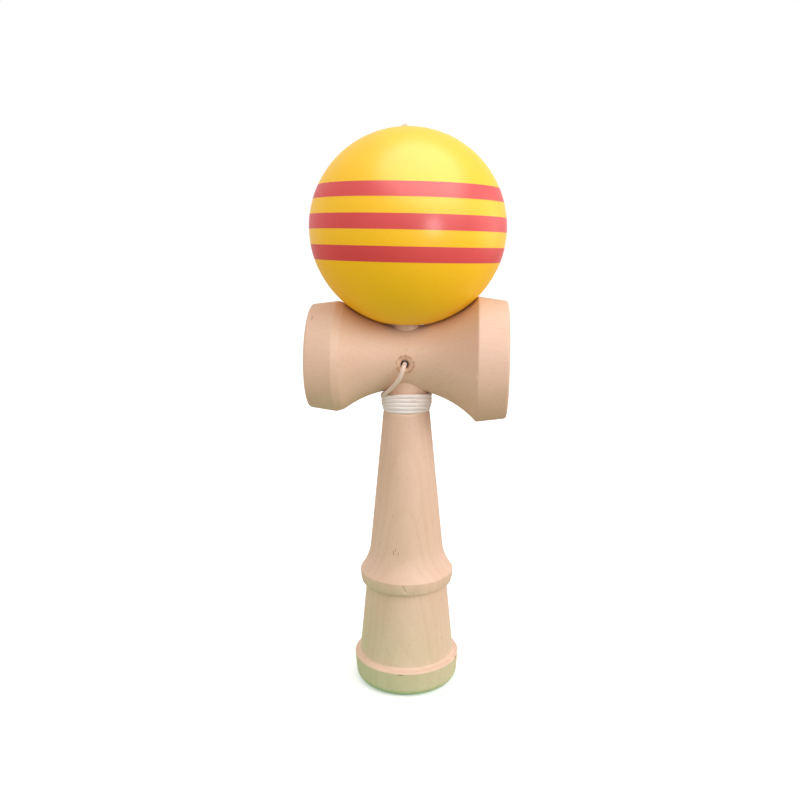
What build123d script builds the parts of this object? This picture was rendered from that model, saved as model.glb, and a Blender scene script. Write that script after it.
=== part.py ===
from build123d import *

import os
from math import cos, pi, radians, sin, sqrt, tan

# A kendama: a turned wooden handle with a spike, a double-cup cross-piece pressed over the
# spike, a bored ball resting on the spike, and the cord that ties the ball to the handle.
# Millimetres. +Z is the handle's axis and z = 0 the rim that it stands on. The cross-piece
# lies along X with its big cup at +X, and its cord hole faces -Y, the front.

# ---- handle ------------------------------------------------------------------------------
FOOT_FLAT_RADIUS = 13.2
FOOT_ROUNDING = 3.0
FOOT_TOP_Z = 8.3
FOOT_TOP_RADIUS = 16.66
FOOT_EDGE = 0.35
BASE_CUP_RADIUS = 12.1
BASE_CUP_DEPTH = 6.0
LEDGE_INNER = (15.35, 8.75)
LOWER_BODY_BOTTOM = (14.9, 9.1)
LOWER_BODY_TOP = (12.76, 32.1)
RING_RADIUS = 14.65
RING_BOTTOM_Z = 32.3
RING_MIDDLE_Z = 34.1
RING_TOP_Z = 35.9
RING_UNDERSIDE_RADIUS = 13.06
RING_LOW_EDGE_RADIUS = 14.27
RING_TOP_EDGE_RADIUS = 14.74
GRIP_BOTTOM = (11.42, 44.3)
GRIP_TOP = (7.28, 86.8)
GRIP_TOP_CORNER = (6.9, 87.45)
NECK_BOTTOM = (5.95, 87.6)
NECK_MIDDLE = (6.62, 89.6)
NECK_TOP = (6.68, 92.9)
COLLAR_RADIUS = 7.0
COLLAR_BOTTOM_Z = 94.2
COLLAR_TOP_Z = 96.9
COLLAR_SHOULDER = (6.4, 98.5)
SHANK_BOTTOM = (5.3, 99.4)
SHANK_TOP = (4.45, 114.0)
SPIKE_SHOULDER = (2.75, 145.4)
SPIKE_TIP_Z = 148.0

# ---- ball ----------------------------------------------------------------------------------
BALL_RADIUS = 30.0
BALL_CENTRE_X = 0.4
BALL_CENTRE_Z = 143.9
BALL_LEAN = 1.2
SPIKE_HOLE_RADIUS = 7.2
SPIKE_HOLE_BEVEL = 0.3
SPIKE_HOLE_STRAIGHT_END = 12.0
SPIKE_HOLE_POINT_END = 15.0
BALL_CORD_HOLE_RADIUS = 2.2
BALL_CORD_HOLE_ROUNDING = 0.9
STRIPE_DEPTH = 0.25
STRIPES = {
    "stripe_upper": (7.9, 12.1),
    "stripe_middle": (-0.95, 3.4),
    "stripe_lower": (-9.9, -5.5),
}

# ---- cross-piece, in its own frame: X along it and its axis at height 0 ----------------------
CROSS_Z = 103.95
CROSS_TILT = 0.77
SMALL_RIM_X = -29.7
BIG_RIM_X = 31.05
SADDLE_RADIUS = BALL_RADIUS + 0.1
SMALL_KNEE_X = -18.9
SMALL_KNEE_ROUNDING = 4.0
SMALL_SHOULDER = (-21.4, 17.25)
BIG_SHOULDER_X = 21.85
SHOULDER_ROUNDING = 0.8
SMALL_RIM_RADIUS = 16.15
BIG_RIM_RADIUS = 18.15
RIM_ROUNDING = 0.9
SMALL_CUP_RADIUS = 14.2
SMALL_CUP_DEPTH = 8.2
BIG_CUP_RADIUS = 16.2
BIG_CUP_DEPTH = 9.6
CUP_LIP_ROUNDING = 0.6
SEAT_CLEARANCE = 0.03

# ---- cord holes, front to back through the cross-piece and the shank ------------------------
CORD_HOLE_Z = 103.1
CORD_HOLE_RADIUS = 1.2
CORD_HOLE_MOUTH_RADIUS = 2.8
CORD_HOLE_MOUTH_DEPTH = 1.2
SHANK_HOLE_RADIUS = 1.1
KNOT_POCKET_RADIUS = 2.2
KNOT_POCKET_FLOOR_Y = 1.5

# ---- cord ----------------------------------------------------------------------------------
CORD_DIAMETER = 1.4
CORD_HOLD = 0.45
KNOT_RADIUS = 1.7
HANDLE_KNOT_OFFSET = 1.53
BALL_KNOT_OFFSET = 1.36
BEAD_RADIUS = 3.5
BEAD_LENGTH = 6.0
BEAD_CENTRE = 11.2
BEAD_BOTTOM = BEAD_CENTRE - BEAD_LENGTH / 2
BEAD_HOLE_RADIUS = 0.9
BEAD_ROUNDING = 1.6
WINDING_BOTTOM_Z = 87.7
WINDING_TOP_Z = 92.75
WINDING_RADIUS = 8.05
WINDING_LOWER_RADIUS = 7.4
WINDING_STEP_Z = 89.1
WINDING_CLEARANCE = 0.04

# The cord's route, end to end: out of the cross-piece's front hole, down over its belly and
# left round the neck, the winding, then up behind to the ball, over its back and into its top.
LEAD_ROUTE = [
    (0.0, 1.6, 103.1),
    (0.0, -11.6, 103.1),
    (-1.0, -11.4, 99.8),
    (-2.5, -10.0, 97.4),
    (-4.2, -8.3, 95.5),
    (-6.4, -5.5, 93.4),
    (-7.4, -2.2, 92.2),
]
RISE_ROUTE = [
    (-6.6, 2.6, 88.4),
    (-4.8, 7.8, 88.5),
    (-3.1, 11.6, 93.2),
    (-2.6, 14.6, 100.8),
    (-2.7, 18.6, 109.8),
    (-3.0, 23.2, 119.6),
]
BACK_ROUTE = [
    (-2.8, 28.3, 130.2),
    (-2.2, 31.3, 140.6),
    (-1.7, 30.6, 151.5),
    (-2.0, 26.1, 161.5),
    (-2.7, 18.5, 169.3),
    (-2.6, 9.7, 173.5),
    (-1.5, 3.7, 174.8),
]
TOP_CORNER = 30.65
CORD_IN_HOLE = 26.0

# How far cutting shapes reach past what they cut.
MARGIN = 2.0
REACH = 20.0
# How near a rounded edge's position must be to the wanted one.
NEAR = 0.05


def ball_frame():
    """The ball's own frame: its centre, with +Z along its bore, leaning towards +X."""
    return Plane(Location((BALL_CENTRE_X, 0, BALL_CENTRE_Z), (0, BALL_LEAN, 0)))


def on_ball_axis(height):
    """The point on the ball's own axis at this height above its centre."""
    lean = radians(BALL_LEAN)
    return (BALL_CENTRE_X + height * sin(lean), 0.0, BALL_CENTRE_Z + height * cos(lean))


def turned(lines, axis=Axis.Z):
    """A solid of revolution from the closed outline that these lines make in the XZ plane."""
    return revolve(Plane.XZ * make_face(Curve() + lines), axis)


def closed(corners):
    """The straight lines that join these corners and return to the first."""
    return [Line(a, b) for a, b in zip(corners, corners[1:] + corners[:1])]


def flat(radius, height):
    """A point of a turned outline, at this radius and height."""
    return Vector(radius, height)


def cup_cutter(rim_radius, depth):
    """The ball that cuts a cup of this rim radius and depth into a face at z = 0, from +Z."""
    radius = (rim_radius**2 + depth**2) / (2 * depth)
    return Pos(0, 0, radius - depth) * Sphere(radius)


def foot_lines():
    """Outline of the foot and the lower body, from the axis up to the ring's underside."""
    side = flat(FOOT_FLAT_RADIUS + FOOT_ROUNDING, FOOT_ROUNDING)
    edge_low = flat(FOOT_TOP_RADIUS, FOOT_TOP_Z - FOOT_EDGE)
    edge_high = flat(FOOT_TOP_RADIUS - FOOT_EDGE, FOOT_TOP_Z)
    return [
        Line(flat(0, 0), flat(FOOT_FLAT_RADIUS, 0)),
        RadiusArc(flat(FOOT_FLAT_RADIUS, 0), side, -FOOT_ROUNDING),
        Line(side, edge_low),
        Line(edge_low, edge_high),
        Line(edge_high, flat(*LEDGE_INNER)),
        Line(flat(*LEDGE_INNER), flat(*LOWER_BODY_BOTTOM)),
        Line(flat(*LOWER_BODY_BOTTOM), flat(*LOWER_BODY_TOP)),
    ]


def ring_and_grip_lines():
    """Outline of the ring, the cove above it and the tapered grip."""
    underside = flat(RING_UNDERSIDE_RADIUS, RING_BOTTOM_Z)
    low = flat(RING_LOW_EDGE_RADIUS, RING_BOTTOM_Z)
    high = flat(RING_TOP_EDGE_RADIUS, RING_TOP_Z)
    slope = flat(*GRIP_BOTTOM) - flat(*GRIP_TOP)
    return [
        Line(flat(*LOWER_BODY_TOP), underside),
        Line(underside, low),
        ThreePointArc(low, flat(RING_RADIUS, RING_MIDDLE_Z), high),
        TangentArc(flat(*GRIP_BOTTOM), high, tangent=slope),
        Line(flat(*GRIP_BOTTOM), flat(*GRIP_TOP)),
    ]


def neck_and_spike_lines():
    """Outline of the neck, collar, shank and spike, back down the axis to the foot."""
    collar_bottom = flat(COLLAR_RADIUS, COLLAR_BOTTOM_Z)
    collar_top = flat(COLLAR_RADIUS, COLLAR_TOP_Z)
    tip_height = SPIKE_TIP_Z - SPIKE_SHOULDER[1]
    tip_radius = (SPIKE_SHOULDER[0] ** 2 + tip_height**2) / (2 * tip_height)
    return [
        ThreePointArc(flat(*GRIP_TOP), flat(*GRIP_TOP_CORNER), flat(*NECK_BOTTOM)),
        Line(flat(*NECK_BOTTOM), flat(*NECK_MIDDLE)),
        Line(flat(*NECK_MIDDLE), flat(*NECK_TOP)),
        Line(flat(*NECK_TOP), collar_bottom),
        Line(collar_bottom, collar_top),
        ThreePointArc(collar_top, flat(*COLLAR_SHOULDER), flat(*SHANK_BOTTOM)),
        Line(flat(*SHANK_BOTTOM), flat(*SHANK_TOP)),
        Line(flat(*SHANK_TOP), flat(*SPIKE_SHOULDER)),
        RadiusArc(flat(*SPIKE_SHOULDER), flat(0, SPIKE_TIP_Z), -tip_radius),
        Line(flat(0, SPIKE_TIP_Z), flat(0, 0)),
    ]


def make_handle():
    """One turning: foot with a cup under it, lower body, ring, grip, neck, collar and spike."""
    body = turned(foot_lines() + ring_and_grip_lines() + neck_and_spike_lines())
    body -= Rot(180, 0, 0) * cup_cutter(BASE_CUP_RADIUS, BASE_CUP_DEPTH)
    through = Pos(0, 0, CORD_HOLE_Z) * Rot(90, 0, 0) * Cylinder(SHANK_HOLE_RADIUS, 2 * REACH)
    pocket = Pos(0, KNOT_POCKET_FLOOR_Y + REACH / 2, CORD_HOLE_Z)
    pocket *= Rot(90, 0, 0) * Cylinder(KNOT_POCKET_RADIUS, REACH)
    return body - through - pocket


def cross_place():
    """Where the cross-piece's own frame sits: across the shank, its big cup slightly low."""
    return Pos(0, 0, CROSS_Z) * Rot(0, CROSS_TILT, 0)


def saddle_centre():
    """The ball's centre in the cross-piece's own frame, as (x, height)."""
    tilt = radians(CROSS_TILT)
    height = BALL_CENTRE_Z - CROSS_Z
    return (
        BALL_CENTRE_X * cos(tilt) - height * sin(tilt),
        BALL_CENTRE_X * sin(tilt) + height * cos(tilt),
    )


def on_saddle(x):
    """The point of the cross-piece's outline under the resting ball, at this x."""
    centre_x, centre_height = saddle_centre()
    return Vector(x, centre_height - sqrt(SADDLE_RADIUS**2 - (x - centre_x) ** 2))


def rim(rim_x, rim_radius, side):
    """The ends of the rounding on a cup's rim: on the end face and on the outer band."""
    face = Vector(rim_x, rim_radius - RIM_ROUNDING)
    band = Vector(rim_x - side * RIM_ROUNDING, rim_radius)
    return face, band


def cross_outline():
    """The cross-piece's outline above its own axis, from the small cup's face to the big cup's."""
    small_face, small_band = rim(SMALL_RIM_X, SMALL_RIM_RADIUS, -1)
    big_face, big_band = rim(BIG_RIM_X, BIG_RIM_RADIUS, 1)
    small_shoulder = Vector(*SMALL_SHOULDER)
    small_knee = on_saddle(SMALL_KNEE_X)
    waist = on_saddle(saddle_centre()[0])
    big_shoulder = on_saddle(BIG_SHOULDER_X)
    return [
        Line(Vector(SMALL_RIM_X, 0), small_face),
        RadiusArc(small_face, small_band, RIM_ROUNDING),
        Line(small_band, small_shoulder),
        Line(small_shoulder, small_knee),
        ThreePointArc(small_knee, waist, big_shoulder),
        Line(big_shoulder, big_band),
        RadiusArc(big_band, big_face, RIM_ROUNDING),
        Line(big_face, Vector(BIG_RIM_X, 0)),
        Line(Vector(BIG_RIM_X, 0), Vector(SMALL_RIM_X, 0)),
    ]


def rounded_at(body, places, rounding):
    """The cross-piece with its circular edges of these (x, radius) rounded."""
    edges = body.edges().filter_by(GeomType.CIRCLE).filter_by(
        lambda e: any(abs(e.center().X - x) < NEAR and abs(e.radius - r) < NEAR for x, r in places)
    )
    return fillet(edges, rounding)


def seat_cutter():
    """The taper and the collar's seat, a hair wider than the handle that fills them."""
    gap = SEAT_CLEARANCE
    low = COLLAR_BOTTOM_Z - REACH
    high = SHANK_TOP[1] + REACH
    slope = (SHANK_TOP[0] - SHANK_BOTTOM[0]) / (SHANK_TOP[1] - SHANK_BOTTOM[1])
    high_radius = SHANK_BOTTOM[0] + slope * (high - SHANK_BOTTOM[1]) + gap
    collar = flat(COLLAR_RADIUS + gap, COLLAR_TOP_Z)
    shoulder = flat(COLLAR_SHOULDER[0] + gap, COLLAR_SHOULDER[1] + gap)
    shank = flat(SHANK_BOTTOM[0] + gap, SHANK_BOTTOM[1] + gap)
    return turned(
        [
            Line(flat(0, low), flat(COLLAR_RADIUS + gap, low)),
            Line(flat(COLLAR_RADIUS + gap, low), collar),
            ThreePointArc(collar, shoulder, shank),
            Line(shank, flat(high_radius, high)),
            Line(flat(high_radius, high), flat(0, high)),
            Line(flat(0, high), flat(0, low)),
        ]
    )


def make_cross_piece():
    """The double-cup cross-piece, with the handle's seat through it and the cord's hole in front."""
    body = turned(cross_outline(), Axis.X)
    knee = on_saddle(SMALL_KNEE_X)
    big_shoulder = on_saddle(BIG_SHOULDER_X)
    body = rounded_at(body, [(knee.X, knee.Y)], SMALL_KNEE_ROUNDING)
    shoulders = [SMALL_SHOULDER, (big_shoulder.X, big_shoulder.Y)]
    body = rounded_at(body, shoulders, SHOULDER_ROUNDING)
    small = Pos(SMALL_RIM_X, 0, 0) * Rot(0, -90, 0) * cup_cutter(SMALL_CUP_RADIUS, SMALL_CUP_DEPTH)
    big = Pos(BIG_RIM_X, 0, 0) * Rot(0, 90, 0) * cup_cutter(BIG_CUP_RADIUS, BIG_CUP_DEPTH)
    body = body - small - big
    lips = [(SMALL_RIM_X, SMALL_CUP_RADIUS), (BIG_RIM_X, BIG_CUP_RADIUS)]
    body = cross_place() * rounded_at(body, lips, CUP_LIP_ROUNDING)
    waist_radius = on_saddle(saddle_centre()[0]).Y
    hole = Pos(0, -REACH / 2, CORD_HOLE_Z) * Rot(90, 0, 0) * Cylinder(CORD_HOLE_RADIUS, REACH)
    mouth = Pos(0, -waist_radius + CORD_HOLE_MOUTH_DEPTH / 2, CORD_HOLE_Z) * Rot(90, 0, 0)
    mouth *= Cone(CORD_HOLE_RADIUS, CORD_HOLE_MOUTH_RADIUS, CORD_HOLE_MOUTH_DEPTH)
    return body - seat_cutter() - hole - mouth


def bore_corners():
    """The ball's bore in its own frame: bevelled mouth, straight bore, drill point, cord hole."""
    wide = SPIKE_HOLE_RADIUS + SPIKE_HOLE_BEVEL
    mouth = -sqrt(BALL_RADIUS**2 - wide**2)
    outside = BALL_RADIUS + MARGIN
    return [
        flat(0, -outside),
        flat(wide, -outside),
        flat(wide, mouth),
        flat(SPIKE_HOLE_RADIUS, mouth + 2 * SPIKE_HOLE_BEVEL),
        flat(SPIKE_HOLE_RADIUS, SPIKE_HOLE_STRAIGHT_END),
        flat(BALL_CORD_HOLE_RADIUS, SPIKE_HOLE_POINT_END),
        flat(BALL_CORD_HOLE_RADIUS, outside),
        flat(0, outside),
    ]


def stripe_ring(low, high, inner, outer):
    """The band between two heights and two spheres about the ball's centre."""
    band = Pos(0, 0, (low + high) / 2) * Cylinder(BALL_RADIUS + MARGIN, high - low)
    return (Sphere(outer) - Sphere(inner)) & band


def make_ball():
    """The ball in its own frame: bored for the spike, with its stripes' shallow recesses."""
    body = Sphere(BALL_RADIUS) - turned(closed(bore_corners()))
    top_rim = body.edges().filter_by(GeomType.CIRCLE).filter_by(
        lambda e: e.center().Z > SPIKE_HOLE_POINT_END + NEAR
        and abs(e.radius - BALL_CORD_HOLE_RADIUS) < NEAR
    )
    body = fillet(top_rim, BALL_CORD_HOLE_ROUNDING)
    for low, high in STRIPES.values():
        body -= stripe_ring(low, high, BALL_RADIUS - STRIPE_DEPTH, BALL_RADIUS + MARGIN)
    return body


def tube(route):
    """A round cord along straight runs, with an arc at each corner as large as its runs allow."""
    points = [Vector(*p) for p in route]
    radii = []
    for a, b, c in zip(points, points[1:], points[2:]):
        half_turn = radians((b - a).get_angle(c - b)) / 2
        radii.append(CORD_HOLD * min((b - a).length, (c - b).length) / tan(half_turn))
    path = FilletPolyline(*points, radius=radii)
    start = Plane(origin=path @ 0, z_dir=path % 0)
    solid = sweep(start * Circle(CORD_DIAMETER / 2), path=path)
    section = pi * CORD_DIAMETER**2 / 4
    print("  radii", [round(r, 1) for r in radii])
    kept = solid.volume / (section * path.length)
    print("  length", round(path.length, 1), "volume ratio", round(kept, 4))
    return solid


def make_winding():
    """The outer shape of the cord's turns round the neck: one sleeve on the neck's own outline."""
    gap = WINDING_CLEARANCE
    slope = (NECK_MIDDLE[0] - NECK_BOTTOM[0]) / (NECK_MIDDLE[1] - NECK_BOTTOM[1])
    bottom_inner = NECK_BOTTOM[0] + slope * (WINDING_BOTTOM_Z - NECK_BOTTOM[1]) + gap
    corners = [
        flat(bottom_inner, WINDING_BOTTOM_Z),
        flat(WINDING_LOWER_RADIUS, WINDING_BOTTOM_Z),
        flat(WINDING_LOWER_RADIUS, WINDING_STEP_Z),
        flat(WINDING_RADIUS, WINDING_STEP_Z),
        flat(WINDING_RADIUS, WINDING_TOP_Z),
        flat(NECK_TOP[0] + gap, WINDING_TOP_Z),
        flat(NECK_MIDDLE[0] + gap, NECK_MIDDLE[1]),
    ]
    return turned(closed(corners))


def make_handle_knot():
    """The knot that stops the cord in the pocket behind the shank, flat where the cord leaves it."""
    face_y = LEAD_ROUTE[0][1]
    knot = Pos(0, face_y + HANDLE_KNOT_OFFSET, CORD_HOLE_Z) * Sphere(KNOT_RADIUS)
    return knot - Pos(0, face_y - REACH / 2, CORD_HOLE_Z) * Box(REACH, REACH, REACH)


def make_bead():
    """The barrel bead inside the ball, in the ball's own frame, that the cord can't pull out."""
    bead = Pos(0, 0, BEAD_CENTRE) * Cylinder(BEAD_RADIUS, BEAD_LENGTH)
    bead = fillet(bead.edges(), BEAD_ROUNDING)
    return bead - Pos(0, 0, BEAD_CENTRE) * Cylinder(BEAD_HOLE_RADIUS, BEAD_LENGTH + MARGIN)


def make_ball_knot():
    """The knot under the bead, in the ball's own frame, flat where it meets the bead."""
    knot = Pos(0, 0, BEAD_BOTTOM - BALL_KNOT_OFFSET) * Sphere(KNOT_RADIUS)
    return knot - Pos(0, 0, BEAD_BOTTOM + REACH / 2) * Box(REACH, REACH, REACH)


def make_cord_in_ball():
    """The cord's straight end through the ball's top hole and the bead, to the knot under it."""
    low = Vector(*on_ball_axis(BEAD_BOTTOM))
    high = Vector(*on_ball_axis(CORD_IN_HOLE))
    section = Plane(origin=low, z_dir=high - low) * Circle(CORD_DIAMETER / 2)
    return extrude(section, (high - low).length)


def main():
    in_ball = ball_frame().location
    parting = tuple((Vector(*RISE_ROUTE[-1]) + Vector(*BACK_ROUTE[0])) / 2)
    into_ball = [on_ball_axis(TOP_CORNER), on_ball_axis(CORD_IN_HOLE)]
    parts = {
        "handle": make_handle(),
        "cross_piece": make_cross_piece(),
        "ball": in_ball * make_ball(),
        "bead": in_ball * make_bead(),
        "ball_knot": in_ball * make_ball_knot(),
        "handle_knot": make_handle_knot(),
        "string_lead": tube(LEAD_ROUTE),
        "string_winding": make_winding(),
        "string_rise": tube(RISE_ROUTE + [parting]),
        "string_over_ball": tube([parting] + BACK_ROUTE + into_ball),
        "string_through_ball": make_cord_in_ball(),
    }
    for name, (low, high) in STRIPES.items():
        parts[name] = in_ball * stripe_ring(low, high, BALL_RADIUS - STRIPE_DEPTH, BALL_RADIUS)
    os.makedirs("parts", exist_ok=True)
    for name, shape in parts.items():
        shape.label = name
        export_step(shape, f"parts/{name}.step")
        print(name, "volume", round(shape.volume, 2), "valid", shape.is_valid)


main()
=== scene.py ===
import math

import bmesh
import bpy
import numpy as np
from mathutils import Matrix, Vector


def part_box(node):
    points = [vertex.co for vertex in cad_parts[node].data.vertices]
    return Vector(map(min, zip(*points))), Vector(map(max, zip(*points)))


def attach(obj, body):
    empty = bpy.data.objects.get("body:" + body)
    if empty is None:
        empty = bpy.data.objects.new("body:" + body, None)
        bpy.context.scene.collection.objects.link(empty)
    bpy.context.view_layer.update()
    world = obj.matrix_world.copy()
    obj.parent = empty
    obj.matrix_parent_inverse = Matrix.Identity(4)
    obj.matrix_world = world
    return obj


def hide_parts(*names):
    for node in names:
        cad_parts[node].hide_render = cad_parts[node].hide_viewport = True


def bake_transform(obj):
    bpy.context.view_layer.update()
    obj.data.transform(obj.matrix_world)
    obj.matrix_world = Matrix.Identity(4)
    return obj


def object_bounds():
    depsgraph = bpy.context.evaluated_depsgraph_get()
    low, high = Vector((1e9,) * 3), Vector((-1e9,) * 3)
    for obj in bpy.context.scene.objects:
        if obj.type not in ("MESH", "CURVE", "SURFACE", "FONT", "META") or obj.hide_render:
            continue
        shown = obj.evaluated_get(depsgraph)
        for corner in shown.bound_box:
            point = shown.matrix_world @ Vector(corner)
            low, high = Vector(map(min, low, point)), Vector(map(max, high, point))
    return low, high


# A kendama on a pale floor: a turned wooden handle with a spike, a double-cup cross-piece, a
# painted ball resting on the spike and the cord that ties them. The frame is the CAD model's:
# +Z is the handle's axis, the big cup is at +X and the front is -Y. Blender works in metres, and
# so do the cord's routes, the lights and the floor. The object's sizes are in millimetres and are
# turned into metres by MM.

MM = 0.001

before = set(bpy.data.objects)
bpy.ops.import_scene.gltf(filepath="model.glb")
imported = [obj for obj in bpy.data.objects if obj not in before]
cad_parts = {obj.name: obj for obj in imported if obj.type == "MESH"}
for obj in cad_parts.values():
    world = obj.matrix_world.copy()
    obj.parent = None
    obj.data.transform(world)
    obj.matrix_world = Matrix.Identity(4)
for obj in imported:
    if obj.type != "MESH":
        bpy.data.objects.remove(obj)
cad_low, cad_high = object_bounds()


# ---------------------------------------------------------------------------------------------
# Camera
# ---------------------------------------------------------------------------------------------

CAMERA_AZIMUTH = math.radians(3.8)
CAMERA_DISTANCE = 250.2 * MM
CAMERA_HEIGHT = 139.0 * MM
CAMERA_PITCH = math.radians(7.45)
SENSOR_WIDTH = 36.0
FOCAL_LENGTH = 36.47
LENS_SHIFT_X = -0.00825
LENS_SHIFT_Y = -0.0625
NEAR_CLIP = 0.01
FAR_CLIP = 50.0


def make_camera():
    data = bpy.data.cameras.new("camera")
    data.sensor_width = SENSOR_WIDTH
    data.lens = FOCAL_LENGTH
    data.shift_x = LENS_SHIFT_X
    data.shift_y = LENS_SHIFT_Y
    data.clip_start = NEAR_CLIP
    data.clip_end = FAR_CLIP
    camera = bpy.data.objects.new("camera", data)
    bpy.context.scene.collection.objects.link(camera)
    camera.location = (
        CAMERA_DISTANCE * math.sin(CAMERA_AZIMUTH),
        -CAMERA_DISTANCE * math.cos(CAMERA_AZIMUTH),
        CAMERA_HEIGHT,
    )
    turn = Matrix.Rotation(CAMERA_AZIMUTH, 4, "Z")
    tilt = Matrix.Rotation(math.pi / 2 - CAMERA_PITCH, 4, "X")
    camera.rotation_euler = (turn @ tilt).to_euler()
    bpy.context.scene.camera = camera


# ---------------------------------------------------------------------------------------------
# Sizes of the real object in millimetres: the CAD model's, apart from how some edges are eased
# ---------------------------------------------------------------------------------------------

BALL_RADIUS = 30.0
BALL_CENTRE_X = 0.4
BALL_CENTRE_Z = 143.9
BALL_LEAN = math.radians(1.2)
BORE_RADIUS = 7.2
BORE_END = 12.0
BORE_MOUTH_RADIUS = 7.5
CORD_BORE_RADIUS = 2.2
CORD_BORE_START = 15.0
TOP_HOLE_RADIUS = 3.1
# Each stripe's lower and upper edge, as heights above the ball's centre.
STRIPES = {
    "stripe_upper": (7.9, 12.1),
    "stripe_middle": (-0.95, 3.4),
    "stripe_lower": (-9.9, -5.5),
}
PAINT_DEPTH = 0.2
PAINT_HEIGHT = 0.03

# The handle's corners, each as (radius, height), from the base up.
BASE_CUP_RADIUS = 12.1
BASE_CUP_DEPTH = 6.0
FOOT_FLAT = (13.2, 0.0)
FOOT_CURVE = ((13.3, 0.01), (15.35, 0.85), (16.2, 3.0))
FOOT_SIDE_TOP = (16.66, 8.0)
FOOT_EDGE = (16.33, 8.3)
LEDGE_INNER = (15.4, 8.72)
LOWER_BODY_BOTTOM = (14.9, 9.15)
LOWER_BODY_TOP = (12.76, 32.1)
RING_UNDERSIDE = (13.06, 32.3)
RING_LOW_EDGE = (14.27, 32.3)
RING_MIDDLE = (14.65, 34.1)
RING_TOP_EDGE = (14.74, 35.9)
GRIP_BOTTOM = (11.42, 44.3)
GRIP_TOP = (7.28, 86.8)
GRIP_TOP_CORNER = (7.0, 87.35)
NECK_PROFILE = ((5.95, 87.6), (6.62, 89.6), (6.68, 92.9), (7.0, 94.2))
COLLAR_TOP = (7.0, 96.9)
COLLAR_SHOULDER = (6.4, 98.5)
SHANK_BOTTOM = (5.3, 99.4)
SHANK_TOP = (4.45, 114.0)
SPIKE_SHOULDER = (2.75, 145.4)
SPIKE_TIP_Z = 148.0

# The cross-piece: X is along its own axis, from the handle's axis towards the big cup.
CROSS_Z = 103.95
CROSS_TILT = math.radians(0.77)
SMALL_RIM_X = -29.7
SMALL_RIM_RADIUS = 16.15
SMALL_CUP_RADIUS = 14.2
SMALL_CUP_DEPTH = 8.2
SMALL_SHOULDER = (17.25, -21.4)
KNEE_X = -18.9
BIG_SHOULDER_X = 21.85
BIG_RIM_X = 31.05
BIG_RIM_RADIUS = 18.15
BIG_CUP_RADIUS = 16.2
BIG_CUP_DEPTH = 9.6
SADDLE_GAP = 0.1
# The bore across it that the handle's collar and shank are pressed into.
SEAT_GAP = 0.03
SEAT_BOTTOM_Z = 80.0
SEAT_TOP = (4.0, 122.8)

CORD_DIAMETER = 1.4
CORD_HOLE_Z = 103.1
CORD_HOLE_RADIUS = 1.2
SHANK_HOLE_RADIUS = 1.1
KNOT_POCKET_RADIUS = 2.2
KNOT_POCKET_FLOOR_Y = 1.5
# The cord hole's mouth widens by its flare from its start to its end.
MOUTH_START_Y = -8.65
MOUTH_END_Y = -10.35
MOUTH_FLARE = 2.27


def on_ball_axis(height):
    """The point on the ball's own axis at this height above its centre, in metres."""
    return (
        (BALL_CENTRE_X + height * math.sin(BALL_LEAN)) * MM,
        0.0,
        (BALL_CENTRE_Z + height * math.cos(BALL_LEAN)) * MM,
    )


def ball_matrix():
    """Carries the ball's own frame, in metres, to its place: leaning towards +X."""
    place = Matrix.Translation((BALL_CENTRE_X * MM, 0, BALL_CENTRE_Z * MM))
    return place @ Matrix.Rotation(BALL_LEAN, 4, "Y")


# ---------------------------------------------------------------------------------------------
# Cord
# ---------------------------------------------------------------------------------------------

# From the knot behind the shank, out of the cross-piece's front hole and down its belly.
LEAD_ROUTE = [
    (0.0, 0.0026, 0.1031),
    (0.0, -0.0060, 0.1031),
    (0.0, -0.0116, 0.1031),
    (-0.0010, -0.0114, 0.0998),
    (-0.0025, -0.0100, 0.0974),
    (-0.0042, -0.0083, 0.0955),
    (-0.0064, -0.0055, 0.0933),
    (-0.0075, -0.0022, 0.0922),
]
# Up behind the handle to the ball.
RISE_ROUTE = [
    (-0.0070, 0.0030, 0.0879),
    (-0.0048, 0.0078, 0.0885),
    (-0.0031, 0.0116, 0.0932),
    (-0.0026, 0.0146, 0.1008),
    (-0.0027, 0.0186, 0.1098),
    (-0.0030, 0.0232, 0.1196),
]
# Over the ball's back and into its top.
BACK_ROUTE = [
    (-0.0028, 0.0283, 0.1302),
    (-0.0022, 0.0313, 0.1406),
    (-0.0017, 0.0306, 0.1515),
    (-0.0020, 0.0261, 0.1615),
    (-0.0027, 0.0185, 0.1693),
    (-0.0026, 0.0097, 0.1735),
    (-0.0015, 0.0037, 0.1748),
]
# Down through the ball and the bead: heights on the ball's own axis, in millimetres.
INSIDE_HEIGHTS = (30.65, 26.0, 20.0, 15.0, 10.0, 6.9)

# The winding: clockwise seen from above, from the left side down the neck. Each pair is turns
# from the lead's end and height in millimetres; the sides sit lower than the front and back.
WINDING_START_DEG = 196.6
WINDING_STEPS_PER_TURN = 12
WINDING_HEIGHTS = [
    (0.000, 92.15), (0.046, 92.15), (0.296, 92.70), (0.546, 92.15), (0.796, 93.25),
    (0.935, 92.10), (1.046, 91.00), (1.296, 91.35), (1.546, 90.95), (1.796, 91.97),
    (1.935, 91.10), (2.046, 90.15), (2.296, 90.15), (2.546, 89.80), (2.796, 90.70),
    (2.935, 90.00), (3.046, 89.30), (3.296, 89.05), (3.546, 88.70), (3.796, 89.43),
    (3.935, 88.95), (4.046, 88.45), (4.296, 88.00), (4.546, 87.75), (4.796, 88.15),
    (5.046, 87.65),
]
SINK_INTO_NECK = 0.05
CURVE_RESOLUTION = 14
CORD_SPACING = 0.16 * MM
CORD_SIDES = 20


def neck_radius(height):
    """The neck's radius at this height, in millimetres."""
    radii, heights = zip(*NECK_PROFILE)
    return float(np.interp(height, heights, radii))


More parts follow.
